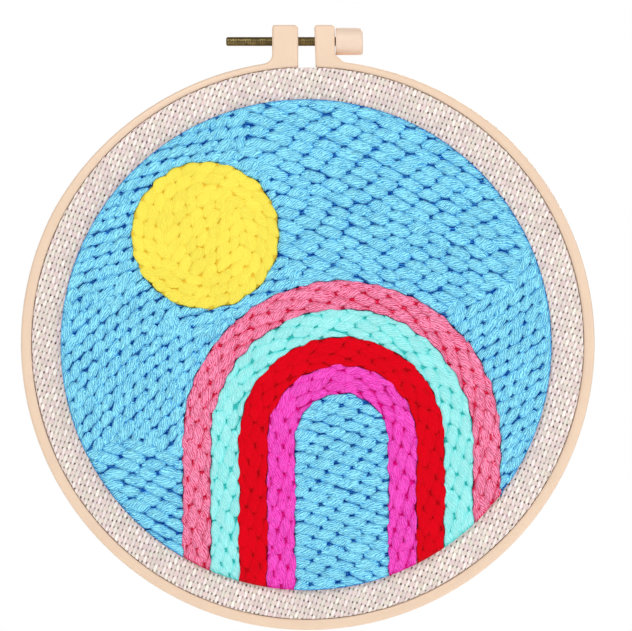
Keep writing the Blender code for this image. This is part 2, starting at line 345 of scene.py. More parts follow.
# Colours of the threads' sides, of both their floats, of the weft's ends, of the pits and under the yarn;
# the sides, the pits and the colour under the yarn are painted shade.
THREAD_SIDE_SHADE, WARP_FLOAT, WEFT_FLOAT = srgb(213, 196, 188), srgb(254, 246, 240), srgb(234, 218, 210)
WEFT_END, PIT_SHADE, UNDER_YARN_SHADE = srgb(250, 240, 233), srgb(78, 56, 50), srgb(110, 80, 90)
# Cell of the weave in millimetres. Pits are measured in half cells, flattened upward so that they are tall.
CELL_U, CELL_V = 1.5, 2.2
PIT_SPAN_U, PIT_SPAN_V = 0.5 * CELL_U, 0.38 * CELL_V
PIT_R, PIT_SOFT_R = 0.24, 0.36


def cloth_material():
    """Undyed basket weave: pale warp floats, duller weft cells, painted shade on the threads' sides, in
    small dark pits at the corners and under the yarn.
    """
    n = new_material("woven_cloth")
    place = n.place()

    def uneven(scale, low, high, detail=1.0):
        return n.remap(n.noise(place, scale, detail), 0.3, 0.7, low, high)

    u, v, yarn_shade_amount = n.separate(n.attribute("weave", "Vector"))
    u = n.plus(u, uneven(420.0, -0.10, 0.10))
    v = n.plus(v, uneven(360.0, -0.08, 0.08))
    column, row = n.math("FLOOR", u), n.math("FLOOR", v)
    across, up = n.math("FRACT", u), n.math("FRACT", v)
    odd = n.times(n.math("FRACT", n.times(n.plus(column, row), 0.5)), 2.0)
    edge_u, edge_v = (n.times(n.math("ABSOLUTE", n.math("SUBTRACT", at, 0.5)), 2.0) for at in (across, up))
    cell_tone = n.white_noise(n.vector(column, row))

    bright = n.remap(cell_tone, 0.0, 0.6, 0.55, 1.0)
    # Each float darkens to the threads' side colour at its edges: painted shade on the round threads.
    warp = n.mix(n.times(n.remap(edge_u, 0.42, 0.8, 1.0, 0.0), bright), THREAD_SIDE_SHADE, WARP_FLOAT)
    weft = n.mix(n.remap(edge_v, 0.3, 1.0, 1.0, 0.0), THREAD_SIDE_SHADE, WEFT_FLOAT)
    float_end = n.times(n.remap(edge_v, 0.55, 0.8, 0.0, 1.0), n.remap(edge_u, 0.35, 0.6, 1.0, 0.0))
    weft = n.mix(n.times(float_end, 0.8), weft, WEFT_END)
    strands = n.math("SINE", n.times(n.mix(odd, across, up), 31.0))
    light = n.times(n.remap(strands, -1.0, 1.0, 0.95, 1.02), n.remap(cell_tone, 0.0, 1.0, 0.93, 1.04))
    shade = n.times(light, uneven(60.0, 0.99, 1.05, 2.0))
    tint = n.vector(shade, n.times(shade, uneven(420.0, 0.93, 1.05)), shade)
    tone = n.mix(1.0, n.mix(odd, warp, weft), tint, "MULTIPLY")

    # Dark pits at the cells' corners: painted shade in the holes of the weave.
    corner = n.vector(n.math("ROUND", u), n.math("ROUND", v), 3.0)
    pit_depth = n.remap(n.white_noise(corner), 0.0, 1.0, 0.35, 1.0)
    corner_u = n.times(n.math("SUBTRACT", 1.0, edge_u), PIT_SPAN_U)
    corner_v = n.times(n.math("SUBTRACT", 1.0, edge_v), PIT_SPAN_V)
    reach = n.math("SQRT", n.plus(n.times(corner_u, corner_u), n.times(corner_v, corner_v)))
    pit_shade = n.times(n.remap(reach, PIT_R, PIT_SOFT_R, 1.0, 0.0), pit_depth)
    # Under the yarn the cloth takes a dark colour: painted shade between the stitches.
    tone = n.mix(yarn_shade_amount, n.mix(pit_shade, tone, PIT_SHADE), UNDER_YARN_SHADE)
    fibre = n.noise(place, 5200.0, 3.0, 0.7)
    return n.finish(
        Base_Color=tone, Roughness=n.remap(fibre, 0.3, 0.7, 0.85, 0.98),
        Normal=n.bump(fibre, 0.05 * MM, 0.7, n.bump(strands, 0.04 * MM, 0.6)),
        Sheen_Weight=0.1, Sheen_Roughness=0.5, Specular_IOR_Level=0.15,
    )


def plastic_material(name, base, warm, shade):
    """Moulded plastic with a satin face, faint flow marks and fine grain."""
    n = new_material(name)
    flow = n.noise(n.place(), 55.0, 3.0, 0.55)
    fine = n.noise(n.place(), 420.0, 3.0, 0.6)
    grain = n.noise(n.place(), 3500.0, 2.0, 0.6)
    tone = n.mix(n.remap(flow, 0.35, 0.65, 0.0, 1.0), base, warm)
    tone = n.mix(n.remap(fine, 0.45, 0.8, 0.0, 0.35), tone, shade)
    normal = n.bump(flow, 0.25 * MM, 0.25)
    normal = n.bump(grain, 0.02 * MM, 0.5, normal)
    rough = n.remap(fine, 0.3, 0.7, 0.36, 0.48)
    return n.finish(Base_Color=tone, Roughness=rough, Normal=normal, Specular_IOR_Level=0.45)


def brass_material():
    """Old brass: dark olive in the roots, rubbed gold on the crests."""
    n = new_material("aged_brass")
    stain = n.noise(n.place(), 700.0, 3.0, 0.6)
    crest = n.attribute("crest", "Fac")
    rubbed = n.times(crest, n.remap(stain, 0.35, 0.65, 0.4, 1.0), clamp=True)
    tone = n.mix(rubbed, srgb(56, 48, 32), srgb(148, 130, 84))
    grain = n.noise(n.place(), 6000.0, 2.0, 0.6)
    return n.finish(
        Base_Color=tone, Metallic=0.9, Roughness=n.remap(stain, 0.3, 0.7, 0.42, 0.28),
        Normal=n.bump(grain, 0.02 * MM, 0.5), Specular_Tint=(0.30, 0.25, 0.17),
    )


# Patches of yarn. A border keeps to one distance from a spine, which is a centre, or for the arch also the
# axis below its centre. A patch is bounded by borders, each as (spine, distance, side), side +1 outside.

RIM_SPINE = (WORKED_X, WORKED_Y, False)
SUN_SPINE = (SUN_X, SUN_Y, False)
ARCH_SPINE = (ARCH_X, ARCH_Y, True)
RIM = (RIM_SPINE, WORKED_R, -1)
SKY = (RIM, (SUN_SPINE, SUN_R, 1), (ARCH_SPINE, ARCH_OUTER_R, 1))
SUN = ((SUN_SPINE, SUN_R, -1),)
DOORWAY = (RIM, (ARCH_SPINE, ARCH_INNER_R, -1))


def band_borders(index):
    outer = ARCH_OUTER_R - index * BAND_WIDTH
    return RIM, (ARCH_SPINE, outer, -1), (ARCH_SPINE, outer - BAND_WIDTH, 1)


def spine_offset(spine, x, y):
    centre_x, centre_y, has_legs = spine
    rise = y - centre_y
    return x - centre_x, np.maximum(rise, 0) if has_legs else rise


BORDER_WAVE = 0.25


def border_reach(border, x, y):
    """A border's distance from its spine: the rim is even, the others wave as the stitches push them."""
    spine, reach, _ = border
    if spine is RIM_SPINE:
        return reach
    wave = np.sin(0.9 * x + 1.7 * np.sin(0.21 * y)) + np.sin(0.9 * y + 1.7 * np.sin(0.23 * x))
    return reach + BORDER_WAVE * wave


def depth_from(border, x, y):
    """How far a point lies inside a border."""
    return border[2] * (np.hypot(*spine_offset(border[0], x, y)) - border_reach(border, x, y))


def depth_in(patch, x, y):
    return np.min([depth_from(border, x, y) for border in patch], axis=0)


def pulled_into(patch, x, y):
    """Moves what lies outside a patch square onto its borders."""
    for border in patch:
        dx, dy = spine_offset(border[0], x, y)
        reach = np.maximum(np.hypot(dx, dy), 0.001)
        change = np.where(depth_from(border, x, y) < 0, border_reach(border, x, y) / reach - 1, 0)
        x, y = x + dx * change, y + dy * change
    return x, y


# Rows of stitches. A curve is a function from distance along it to x and y.
SAMPLE = 0.2
SHORTEST_RUN = 2.4
PITCH = 3.95
# How far past a patch's border the middle of a row may run; what lies outside is then pressed in.
OVERRUN = 1.2
Stitch = namedtuple("Stitch", "x y angle length shear loose width")


def worked(patch, x, y):
    """Whether the middle of a row may run at a point, for the rows of one patch."""
    return depth_in(patch, x, y) > -OVERRUN


def circle_row(x, y, radius, start_angle):
    """A row round a centre, anticlockwise."""
    def curve(g):
        angle = start_angle + g / radius
        return x + radius * np.cos(angle), y + radius * np.sin(angle)
    return curve


def runs(curve, length, inside):
    """The stretches of a curve that lie inside a region."""
    g = np.arange(0, length, SAMPLE)
    kept = np.concatenate([[False], inside(*curve(g)), [False]]).astype(int)
    edges = np.diff(kept)
    starts, ends = np.flatnonzero(edges == 1), np.flatnonzero(edges == -1)
    return [(g[a], g[min(b, len(g) - 1)]) for a, b in zip(starts, ends)]


def lay(curve, length, inside, spacing, shear, loose, stagger=0.0):
    """The stitches of a row, over its stretches inside a region."""
    stitches = []
    for a, b in runs(curve, length, inside):
        if b - a < SHORTEST_RUN:
            continue
        count = max(1, round((b - a) / spacing))
        cuts = np.linspace(a, b, count + 1)
        step = cuts[1] - cuts[0]
        if count > 1 and stagger:
            cuts = np.concatenate([[a], cuts[:-1] + step * stagger, [b]])
            if cuts[-1] - cuts[-2] < 0.5 * step:
                cuts = np.delete(cuts, -2)
            if cuts[1] - cuts[0] < 0.5 * step:
                cuts = np.delete(cuts, 1)
        wander = RANDOM.normal(0, 0.05 * spacing, len(cuts))
        wander[0] = wander[-1] = 0
        ends = np.stack(curve(cuts + wander), axis=-1)
        for (px, py), (qx, qy) in zip(ends[:-1], ends[1:]):
            angle, run = math.atan2(qy - py, qx - px), math.hypot(qx - px, qy - py)
            stitches.append(Stitch((px + qx) / 2, (py + qy) / 2, angle, run, shear, loose, 1.0))
    return stitches


def random_stagger(k):
    """How far the cuts of row k are shifted, as a share of a stitch: every other row by about half."""
    return 0.5 * (k % 2) + RANDOM.uniform(0, 0.2)


def fill(inside, centre, spacing, shear, loose, pitch=PITCH):
    """Stitches in rows round a far centre, over a region within the worked circle."""
    x, y = centre
    stitches = []
    away, start = math.hypot(x - WORKED_X, y - WORKED_Y), math.atan2(y - WORKED_Y, x - WORKED_X)
    reach = WORKED_R + 2
    for k in range(math.floor((away - reach) / pitch), math.ceil((away + reach) / pitch)):
        radius = (k + 0.5) * pitch
        row = circle_row(x, y, radius, start)
        stitches += lay(row, 2 * math.pi * radius, inside, spacing, shear, loose, random_stagger(k))
    return stitches


# Gaps between the rows are found on a square raster of the worked circle. A gap counts from so many steps
# deep, and its filler follows the free places within reach.
RASTER = 0.5
SMALLEST_GAP = 2
GAP_INSET, GAP_REACH = 0.4, 3.5
FILLER_LENGTHS = (3.0, 5.0)


def cover(free, x, y, stitch):
    """Clears what a stitch covers from the raster of free places."""
    dx, dy = x - stitch.x, y - stitch.y
    across = -dx * math.sin(stitch.angle) + dy * math.cos(stitch.angle)
    along = dx * math.cos(stitch.angle) + dy * math.sin(stitch.angle) - stitch.shear * across
    reach = np.abs(along) / (0.5 * stitch.length + 0.2)
    free &= ~((reach < 1) & (np.abs(across) < 0.5 * PITCH * stitch.width * (1 - 0.2 * reach ** 3)))


def raster_depth(free):
    """How many steps each free place lies from the nearest one that isn't."""
    depth, left = free.astype(int), free.copy()
    while left.any():
        inner = left.copy()
        inner[1:] &= left[:-1]
        inner[:-1] &= left[1:]
        inner[:, 1:] &= left[:, :-1]
        inner[:, :-1] &= left[:, 1:]
        depth, left = depth + inner, inner
    return depth


def plug_gaps(stitches, patch):
    """Works short stitches into every hole that the rows leave."""
    side = np.arange(-WORKED_R, WORKED_R + RASTER, RASTER)
    x, y = np.meshgrid(WORKED_X + side, WORKED_Y + side, indexing="ij")
    free = depth_in(patch, x, y) > GAP_INSET
    for stitch in stitches:
        cover(free, x, y, stitch)
    while True:
        depth = raster_depth(free)
        deepest = np.unravel_index(np.argmax(depth), depth.shape)
        if depth[deepest] < SMALLEST_GAP:
            return
        gap_x, gap_y = x[deepest], y[deepest]
        near = free & (np.hypot(x - gap_x, y - gap_y) < GAP_REACH)
        dx, dy = x[near] - gap_x, y[near] - gap_y
        angle = 0.5 * math.atan2(2 * np.sum(dx * dy), np.sum(dx * dx - dy * dy))
        spread = dx * math.cos(angle) + dy * math.sin(angle)
        length = float(np.clip(np.ptp(spread), *FILLER_LENGTHS))
        middle = (spread.max() + spread.min()) / 2
        gap_x, gap_y = gap_x + middle * math.cos(angle), gap_y + middle * math.sin(angle)
        stitches.append(Stitch(gap_x, gap_y, angle, length, 0.2, 0.6, 1.0))
        cover(free, x, y, stitches[-1])
        free[deepest] = False


def sky_zone(x, y):
    """Which patch of flow a point of the ground is in; the seams between them wander."""
    wave = 4 * np.sin(x / 7.0 + 1.0) + 3 * np.sin(y / 5.0) + 2 * np.sin((x + y) / 3.1)
    upper_right = x + 0.35 * y + wave > 2
    right = (x - 0.9 * y + wave > 46) & upper_right
    lower_left = (y + 0.2 * x + 0.8 * wave < 2) & ~upper_right
    left_foot = (y + 0.6 * wave < -38) & ~upper_right
    return np.select((left_foot, lower_left, right, upper_right), (4, 3, 2, 1))


# Centre of curvature, stitch spacing, shear and looseness of each flow of the ground and the sun.
SKY_FLOWS = (
    ((20, -300), 5.3, 0.8, 0.0),
    ((-114, -220), 8.0, 0.5, 1.0),
    ((-40, 190), 5.3, 0.8, 0.1),
    ((60, -150), 5.3, 0.7, 0.1),
    ((-140, -240), 7.6, 0.5, 0.9),
)
DOORWAY_FLOW = ((-60, -260), 6.4, 0.6, 0.5)
SUN_FLOW = ((90, -150), 5.3, 0.5, 0.4)


def sky():
    """The ground: five patches of flow."""
    stitches = []
    for index, flow in enumerate(SKY_FLOWS):
        stitches += fill(lambda x, y: worked(SKY, x, y) & (sky_zone(x, y) == index), *flow)
    return stitches


def doorway():
    """The ground under the arch: slanting rows."""
    return fill(lambda x, y: worked(DOORWAY, x, y), *DOORWAY_FLOW)


SUN_RINGS, SUN_PITCH = 3, 3.8


def anywhere(x, y):
    return x < math.inf


def sun():
    """Rings of stitches round a core of straight rows."""
    stitches = []
    for k in range(SUN_RINGS):
        radius = SUN_R - 0.1 - (k + 0.5) * SUN_PITCH
        ring = circle_row(SUN_X, SUN_Y, radius, k)
        stitches += lay(ring, 2 * math.pi * radius, anywhere, 5.9 - 0.3 * k, *SUN_FLOW[2:])
    core = SUN_R - SUN_RINGS * SUN_PITCH
    return stitches + fill(lambda x, y: np.hypot(x - SUN_X, y - SUN_Y) < core, *SUN_FLOW, SUN_PITCH)


BAND_SLANT = math.radians(19)
BAND_PITCH, BAND_SPACING = 3.9, 5.8
BAND_SHEAR, BAND_LOOSE = 0.6, 0.4
BAND_LEG = WORKED_R
# Bounds on how much wider or narrower a stitch is worked where its band bends.
BEND_WIDTHS = (0.8, 1.25)


def band(index):
    """Rows that wind slowly across a band of the arch, from its outer border to its inner one."""
    patch = band_borders(index)
    outer = patch[1][1] + OVERRUN
    middle = patch[1][1] - BAND_WIDTH / 2
    length = 2 * BAND_LEG + math.pi * middle
    step = BAND_PITCH / math.sin(BAND_SLANT)
    across = (BAND_WIDTH + 2 * OVERRUN) / math.sin(BAND_SLANT)

    def crossing(start):
        def curve(g):
            along = start + g * math.cos(BAND_SLANT)
            radius = outer - g * math.sin(BAND_SLANT)
            turn = np.clip((along - BAND_LEG) / middle, 0, math.pi)
            down = np.maximum(0, np.maximum(BAND_LEG - along, along - BAND_LEG - math.pi * middle))
            return ARCH_X - radius * np.cos(turn), ARCH_Y + radius * np.sin(turn) - down
        return curve

    def fitted(stitch):
        if stitch.y <= ARCH_Y:
            return stitch
        ratio = math.hypot(stitch.x - ARCH_X, stitch.y - ARCH_Y) / middle
        return stitch._replace(width=float(np.clip(ratio, *BEND_WIDTHS)))

    stitches = []
    for k in range(math.ceil((length + across) / step)):
        stagger = random_stagger(k)
        stitches += lay(crossing(k * step - across), across, lambda x, y: worked(patch, x, y),
                        BAND_SPACING, BAND_SHEAR, BAND_LOOSE, stagger)
    return [fitted(stitch) for stitch in stitches]


# A stitch: a plump length of yarn, sheared by its twist, that narrows and dives between its neighbours at
# both ends. A loose one dips further, a tight one runs on into the next like a rope.
STITCH_LONG = 13
TOP_STEPS, UNDER_STEPS = 8, 3
STITCH_WIDTH = 4.8
STITCH_FOOT = CLOTH_FRONT + 0.05
TIP_LENGTH = 2.6
FIBRE_SLANT = math.radians(-40)
# How far from a border the yarn's top starts to roll down, and its height there as a share.
RIM_ROLL, INNER_ROLL = (1.5, 0.10), (0.7, 0.8)


def fibre_place(along, around, slant, seed):
    """Coordinates down and across the slanting fibres of a strand, with its seed."""
    down = along * np.cos(slant) + around * np.sin(slant)
    across = around * np.cos(slant) - along * np.sin(slant)
    return np.stack(np.broadcast_arrays(down, across, seed), axis=-1).reshape(-1, 3)


def strand_attributes(crest, seed, strand):
    """What yarn_material reads at each point of some strands."""
    tint = np.broadcast_to(seed % 1, crest.shape)
    return {"crest": crest.ravel(), "tint": tint.ravel(), "strand": strand}


def border_roll(patch, x, y):
    """How far the yarn's top rolls down towards a patch's borders: 1 on the flat, least at the border."""
    roll = np.ones(np.shape(x))
    for border in patch:
        width, least = RIM_ROLL if border[0] is RIM_SPINE else INNER_ROLL
        near = np.clip(1 - depth_from(border, x, y) / width, 0, 1)
        roll = np.minimum(roll, least + (1 - least) * np.sqrt(1 - near * near))
    return roll


def signed_power(value, power):
    return np.sign(value) * np.abs(value) ** power


def stitch_mesh(stitches, patch, flat):
    """Points, faces and attributes of all the stitches of a patch, as one joined mesh.

    Arrays run over the stitches, then the rows along a strand, then the places round it.
    """
    x, y, angle, length, shear, loose, width = np.array(stitches).T[:, :, None, None]
    each = x.shape
    angle = angle + RANDOM.normal(0, 1, each) * (0.025 + 0.05 * loose)
    x = x + RANDOM.normal(0, 0.15, each)
    y = y + RANDOM.normal(0, 0.15, each)
    length = length + 2.0 - 1.1 * loose
    shear = shear + RANDOM.normal(0, 0.1, each)
    width = width * STITCH_WIDTH * (1 + 0.1 * flat) * RANDOM.normal(1, 0.055, each)
    top = STITCH_TOP - np.abs(RANDOM.normal(0, 0.14 - 0.08 * flat, each))
    bend = RANDOM.normal(0, 0.12, each)
    slant = FIBRE_SLANT + RANDOM.normal(0, 0.15, each)
    seed = RANDOM.uniform(0, 100, each)

    t = np.sin(np.linspace(-0.5, 0.5, STITCH_LONG) * math.pi)[:, None]
    theta = np.concatenate([
        np.linspace(0, math.pi, TOP_STEPS, endpoint=False),
        np.linspace(math.pi, 2 * math.pi, UNDER_STEPS, endpoint=False),
    ])
    tip = np.clip(1 - (1 - np.abs(t)) * length / 2 / TIP_LENGTH, 0, 1)
    blunt = 1 - tip ** (1.6 + 0.8 * loose)
    closing = np.sqrt(np.clip(1 - tip ** 6, 0, None))
    dip = 1 - (0.14 + 0.16 * loose) * (1 - 0.6 * flat) * tip ** 2
    sideways = signed_power(np.cos(theta), 0.8)
    upward = signed_power(np.sin(theta), 0.7 - 0.3 * flat)
    narrow = np.where(sideways < 0, blunt ** (1.3 - 0.4 * loose), blunt ** (0.62 - 0.1 * loose))
    rise = (top - STITCH_FOOT) / 2 * dip * (1 + closing * upward)
    across = width / 2 * narrow * sideways
    along = t * length / 2 + shear * across
    strand = fibre_place(along, theta * STITCH_WIDTH / 2, slant, seed)
    across = across + bend * (1 - 2 * t ** 2)
    point_x = x + along * np.cos(angle) - across * np.sin(angle)
    point_y = y + along * np.sin(angle) + across * np.cos(angle)
    point_x, point_y = pulled_into(patch, point_x, point_y)
    roll = border_roll(patch, point_x, point_y)
    points = np.stack([point_x, point_y, STITCH_FOOT + rise * roll], axis=-1)

    one = grid_faces(STITCH_LONG, len(theta), wrap_columns=True)[:, ::-1]
    faces = repeated(one, STITCH_LONG * len(theta), len(stitches))
    # The crest level paints light and shade on each stitch: full on its top, painted shade down its sides,
    # at the tips of loose stitches and where it rolls down at a border.
    side = np.clip((np.abs(sideways) - 0.55) / 0.42, 0, 1)
    crest = np.where(upward > 0, 1 - 0.72 * side ** 2, 0.1) * (1 - 0.35 * loose * tip ** 2)
    crest = crest * np.clip(1.8 * roll - 0.6, 0.1, 1)
    return points.reshape(-1, 3), faces, strand_attributes(crest, seed, strand)


# The bed: yarn pressed down between the stitches, which fills their gaps; it takes the gap colour all over,
# which is painted shade.
BED_STEP = 1.5
BED_FOOT = CLOTH_FRONT + 0.1
# The four sides of a cell, each as the step to its neighbour there and the side's two corners.
CELL_SIDES = (
    ((-1, 0), (0, 1), (0, 0)), ((1, 0), (1, 0), (1, 1)),
    ((0, -1), (0, 0), (1, 0)), ((0, 1), (1, 1), (0, 1)),
)


def bed_mesh(patch, filled):
    """A closed slab of square cells under a patch, its edge cells pressed into the patch's outline."""
    side = np.arange(-WORKED_R - 2 * BED_STEP, WORKED_R + 3 * BED_STEP, BED_STEP)
    n = len(side)
    x, y = np.meshgrid(WORKED_X + side, WORKED_Y + side, indexing="ij")
    kept = np.zeros((n + 1, n + 1), bool)
    kept[:-1, :-1] = True
    for dx, dy in ((0, 0), (1, 0), (0, 1), (1, 1)):
        kept[:-1, :-1] &= depth_in(patch, x + dx * BED_STEP, y + dy * BED_STEP) > -0.9 * BED_STEP
    kept[-2:] = kept[:, -2:] = kept[0] = kept[:, 0] = False
    i, j = np.nonzero(kept)

    def quad(*corners):
        return np.stack([level * n * n + (i + di) * n + (j + dj) for di, dj, level in corners], -1)

    quads = [
        quad((0, 0, 1), (1, 0, 1), (1, 1, 1), (0, 1, 1)),
        quad((0, 0, 0), (0, 1, 0), (1, 1, 0), (1, 0, 0)),
    ]
    for (di, dj), a, b in CELL_SIDES:
        wall = quad((*a, 0), (*b, 0), (*b, 1), (*a, 1))
        quads.append(wall[~kept[i + di, j + dj]])
    used, index = np.unique(np.concatenate(quads), return_inverse=True)
    level, place_in = used // (n * n), used % (n * n)
    px, py = pulled_into(patch, x.ravel()[place_in], y.ravel()[place_in])
    top = BED_FOOT + (STITCH_TOP - BED_FOOT) * filled * border_roll(patch, px, py)
    points = np.stack([px, py, np.where(level, top, BED_FOOT)], -1)
    # A crest level of nought gives the whole bed the gap colour: painted shade.
    attributes = {"crest": np.zeros(len(used)), "tint": np.full(len(used), 0.5), "strand": points.copy()}
    return points, index.reshape(-1, 4), attributes


def joined(first, second):
    """Joins two meshes, each as points, quads and attributes."""
    quads = np.concatenate([first[1], second[1] + len(first[0])])
    attributes = {key: np.concatenate([first[2][key], second[2][key]]) for key in first[2]}
    return np.concatenate([first[0], second[0]]), [quads], attributes


# A loop on the back: an arch of yarn that stands on the cloth.
LOOP_LONG, LOOP_ROUND = 9, 6
LOOP_R = 1.55
LOOP_SPREAD = 3.3
LOOP_CLEAR = 2.8
# A stitch longer than this has a second loop, behind its middle.
LOOP_EVERY = 4


def loop_roots(stitches, patch):
    """The place and direction of each loop."""
    x, y, angle, length = np.array(stitches).T[:4]
    longer = length > LOOP_EVERY
    start_x, start_y = x - np.cos(angle) * length / 2, y - np.sin(angle) * length / 2
    x, y = np.concatenate([start_x, x[longer]]), np.concatenate([start_y, y[longer]])
    angle = np.concatenate([angle, angle[longer]])
    kept = depth_in(patch, x, y) > -0.6 * OVERRUN
    x, y, angle = x[kept], y[kept], angle[kept]
    x = x + RANDOM.normal(0, 0.3, len(x))
    y = y + RANDOM.normal(0, 0.3, len(y))
    x, y = pulled_into([(RIM_SPINE, WORKED_R - LOOP_CLEAR, -1)], x, y)
    return np.stack([x, y, angle + RANDOM.normal(0, 0.6, len(x))])


def loop_mesh(stitches, patch):
    """Standing loops that lean a little at random, with arrays that run as in stitch_mesh."""
    x, y, angle = loop_roots(stitches, patch)[:, :, None, None]
    each = x.shape
    tall = (LOOP_TOP - LOOP_BOTTOM - LOOP_R) * RANDOM.uniform(0.80, 1.0, each)
    lean_x, lean_y = RANDOM.normal(0, 0.7, (2, *each))
    seed = RANDOM.uniform(0, 100, each)
    thick = LOOP_R * RANDOM.normal(1, 0.05, each)

    s = np.linspace(0, math.pi, LOOP_LONG)[:, None]
    theta = full_turn(LOOP_ROUND)
    rise = np.sin(s) ** 0.8
    spine = -np.cos(s) * (1 + 0.35 * np.sin(s) ** 2) * LOOP_SPREAD / 2
    height = LOOP_TOP - tall * rise
    step, climb = np.gradient(spine, axis=0), np.gradient(height, axis=1)
    outward = thick * np.cos(theta) / np.hypot(step, climb)
    along, across = spine + outward * climb, thick * np.sin(theta)
    height = np.minimum(height - outward * step, LOOP_TOP)
    points = np.stack([
        x + along * np.cos(angle) - across * np.sin(angle) + lean_x * rise,
        y + along * np.sin(angle) + across * np.cos(angle) + lean_y * rise,
        height,
    ], axis=-1)

    per, first = LOOP_LONG * LOOP_ROUND, np.arange(LOOP_ROUND)
    ends = np.stack([first[::-1], first + per - LOOP_ROUND])
    one = grid_faces(LOOP_LONG, LOOP_ROUND, wrap_columns=True)
    faces = [repeated(one, per, len(x)), repeated(ends, per, len(x))]
    # The loops darken down towards the cloth, deep in the pile: painted shade.
    crest = np.clip((LOOP_TOP - height) / (LOOP_TOP - LOOP_BOTTOM) * 1.25 - 0.1, 0, 1)
    strand = fibre_place(s * tall.mean() / 1.5, theta * LOOP_R, FIBRE_SLANT, seed)
    return points.reshape(-1, 3), faces, strand_attributes(crest, seed, strand)


def yarn():
    """Every patch of the picture, in front and behind."""
    patches = [
        ("sky", sky(), SKY, "blue"),
        ("doorway", doorway(), DOORWAY, "blue"),
        ("sun", sun(), SUN, "yellow"),
    ]
    patches += [(f"band_{colour}", band(i), band_borders(i), colour) for i, colour in enumerate(BANDS)]
    materials = {colour: yarn_material(colour) for colour in YARNS}
    for name, stitches, patch, colour in patches:
        plug_gaps(stitches, patch)
        look = YARNS[colour]
        face = joined(stitch_mesh(stitches, patch, look.flat), bed_mesh(patch, look.bed))
        meshes = {"stitches": face, "loops": loop_mesh(stitches, patch)}
        for kind, (points, faces, attributes) in meshes.items():
            add_piece(f"yarn_{name}_{kind}", points, faces, materials[colour],
                      [f"{name}_{kind}"], attributes=attributes)


# Cloth: lattice of the weave, from its row and column directions.
ROW_ANGLE, ROW_STEP = math.radians(-16), CELL_U
COLUMN_ANGLE, COLUMN_STEP = math.radians(70), CELL_V
WEAVE_DEPTH = 0.30
# The cloth's margin is squeezed up between the rings, so its edge swells towards the outer one.
CLOTH_SWELL = 0.25
# The threads stand out in relief only where they show, round the yarn, with close rings of points.
CLOTH_STEPS = 1360
PLAIN_RINGS = (45.0, 80.0)
RELIEF_FROM, CLOSE_FROM = 82.0, 84.0
FRONT_STEP, BACK_STEP = 0.36, 0.5


def weave_place(x, y):
    """The column and row numbers of a point on the flat cloth, as fractions."""
    a, b = ROW_STEP * math.cos(ROW_ANGLE), COLUMN_STEP * math.cos(COLUMN_ANGLE)
    c, d = ROW_STEP * math.sin(ROW_ANGLE), COLUMN_STEP * math.sin(COLUMN_ANGLE)
    det = a * d - b * c
    u, v = (d * x - b * y) / det, (a * y - c * x) / det
    sway_u = 0.10 * np.sin(v / 3.7) + 0.06 * np.sin(v / 1.3)
    sway_v = 0.10 * np.sin(u / 4.9) + 0.05 * np.sin(u / 1.9)
    return u + sway_u, v + sway_v


def weave_height(u, v):
    """The relief of the threads: 0 on the highest float, down to -WEAVE_DEPTH between them."""
    column, row = np.floor(u), np.floor(v)
    round_u, round_v = np.sin(math.pi * (u - column)), np.sin(math.pi * (v - row))
    warp = 0.2 + 0.8 * round_u ** 0.8 * (0.6 + 0.4 * round_v)
    weft = 0.1 + 0.5 * round_v ** 0.8 * (0.6 + 0.4 * round_u)
    return (np.where((column + row) % 2 == 0, warp, weft) - 1) * WEAVE_DEPTH


def cloth_profile():
    """Points down the sheet's section as (radius, height, outward radius, outward height, flat radius)."""
    edge_r = CLOTH_R + CLOTH_SWELL
    face_r = edge_r - CLOTH_SHOULDER
    back = CLOTH_FRONT - CLOTH_THICKNESS
    rows = [(r, CLOTH_FRONT, 0, 1, r) for r in (*PLAIN_RINGS, *np.arange(CLOSE_FROM, face_r, FRONT_STEP))]
    for i in range(1, 4):
        turn = i / 4 * math.pi / 2
        rows.append((
            face_r + CLOTH_SHOULDER * math.sin(turn), CLOTH_FRONT - CLOTH_SHOULDER * (1 - math.cos(turn)),
            math.sin(turn), math.cos(turn), face_r + CLOTH_SHOULDER * turn,
        ))
    flat = face_r + CLOTH_SHOULDER * math.pi / 2
    wall_top = CLOTH_FRONT - CLOTH_SHOULDER
    for down in (0.0, 0.5, 1.0, 2.5, 4.5, wall_top - CLOTH_END):
        rows.append((edge_r if down < 1 else CLOTH_R, wall_top - down, 1, 0, flat + down))
    for height in (CLOTH_END, 4.0, back - 0.01):
        rows.append((CLOTH_R - CLOTH_THICKNESS, height, -1, 0, flat + wall_top - height))
    ring_r = INNER_RING_R - INNER_RING_WIDTH
    close_rings = np.arange(ring_r + 0.1, CLOSE_FROM, -BACK_STEP)
    back_rings = (95.0, ring_r + 0.6, *close_rings, *reversed(PLAIN_RINGS))
    rows += [(r, back, 0, -1, r) for r in back_rings]
    return np.array(rows)


def turned_about_hoop(radius, height, angle):
    """Points at radii and heights about the hoop's axis, row by row."""
    points = np.stack([radius * np.cos(angle), radius * np.sin(angle), height + 0 * angle], axis=-1)
    return points.reshape(-1, 3)


